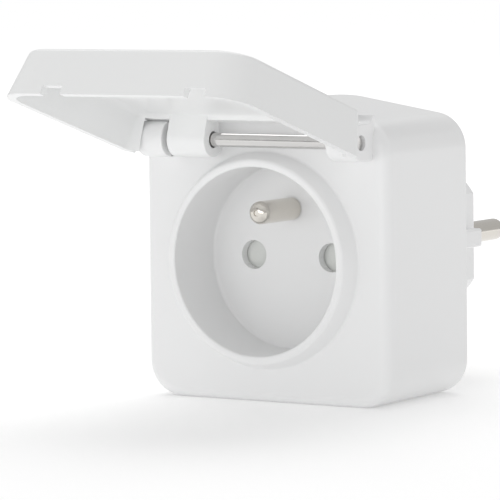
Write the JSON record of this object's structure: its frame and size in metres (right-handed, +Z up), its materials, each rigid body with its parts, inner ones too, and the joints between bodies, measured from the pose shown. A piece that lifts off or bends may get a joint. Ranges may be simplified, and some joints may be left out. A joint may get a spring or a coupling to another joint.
{
  "type": "smart plug",
  "caption": "White outdoor smart plug: rounded-square body with an earthed round socket in front under a flip-up lid, and a round plug with two pins behind.",
  "frame": {"origin": "centre of the flat underside of the body, below the middle of its depth", "axes": "+Z up; -Y is the way the socket faces; +Y is the way the plug pins point; +X is right as seen from the front"},
  "size_m": [0.0597, 0.1385, 0.0748],
  "materials": {
    "white_plastic": "satin moulded",
    "grey_plastic": "fine matte",
    "black_plastic": "matte moulded",
    "grey_rubber": "matte",
    "polished_steel": "polished",
    "nickel_plate": "polished",
    "brass": "stamped",
    "zinc_plate": "zinc plated",
    "circuit_board": "solder mask",
    "clear_plastic": "polished",
    "blue_coating": "dipped coating",
    "tin_plate": "tin plated"
  },
  "bodies": {
    "housing": {"board_header": "black_plastic", "board_screw_1": "zinc_plate", "board_screw_2": "zinc_plate", "bulk_capacitor": "tin_plate", "button_seal": "grey_rubber", "contact_carrier": "grey_plastic", "control_board": "circuit_board", "earth_pin": "nickel_plate", "earth_receptacle": "brass", "earth_strap": "brass", "filter_capacitor": "blue_coating", "front_housing": "white_plastic", "hinge_rod": "polished_steel", "housing_screw_1": "zinc_plate", "housing_screw_2": "zinc_plate", "housing_screw_3": "zinc_plate", "housing_screw_4": "zinc_plate", "housing_seal": "grey_rubber", "input_fuse": "clear_plastic", "left_plug_pin": "nickel_plate", "light_pipe": "clear_plastic", "live_busbar": "brass", "live_socket_contact": "brass", "lower_earth_clip": "nickel_plate", "neutral_busbar": "brass", "neutral_socket_contact": "brass", "power_board": "circuit_board", "power_inductor": "black_plastic", "power_relay": "black_plastic", "rear_cover": "white_plastic", "right_plug_pin": "nickel_plate", "shutter_spring": "polished_steel", "status_led": "clear_plastic", "tact_switch": "black_plastic", "upper_earth_clip": "nickel_plate", "varistor": "blue_coating", "wifi_shield_can": "tin_plate"},
    "lid": {"lid": "white_plastic"},
    "shutter": {"shutter_slide": "grey_plastic"},
    "button": {"button_cap": "grey_plastic"},
    "switch_plunger": {"tact_plunger": "grey_plastic"}
  },
  "joints": [
    {"name": "lid_hinge", "type": "hinge", "parent": "housing", "child": "lid", "pos_m": [0, -0.02115, 0.0548], "axis": [1, 0, 0], "range_deg": [-35, 107]},
    {"name": "shutter_slide_joint", "type": "slide", "parent": "housing", "child": "shutter", "axis": [0, 0, -1], "range_m": [0, 0.0058], "stiffness_N_per_m": 60, "springref_m": -0.003, "deforming": ["shutter_spring"]},
    {"name": "button_press", "type": "slide", "parent": "housing", "child": "button", "axis": [1, 0, 0], "range_m": [0, 0.0005], "stiffness_N_per_m": 400, "springref_m": -0.0005},
    {"name": "plunger_press", "type": "slide", "parent": "housing", "child": "switch_plunger", "axis": [1, 0, 0], "range_m": [0, 0.0005]}
  ],
  "couplings": [
    {"joint": "plunger_press", "follows": "button_press", "ratio": 1}
  ]
}
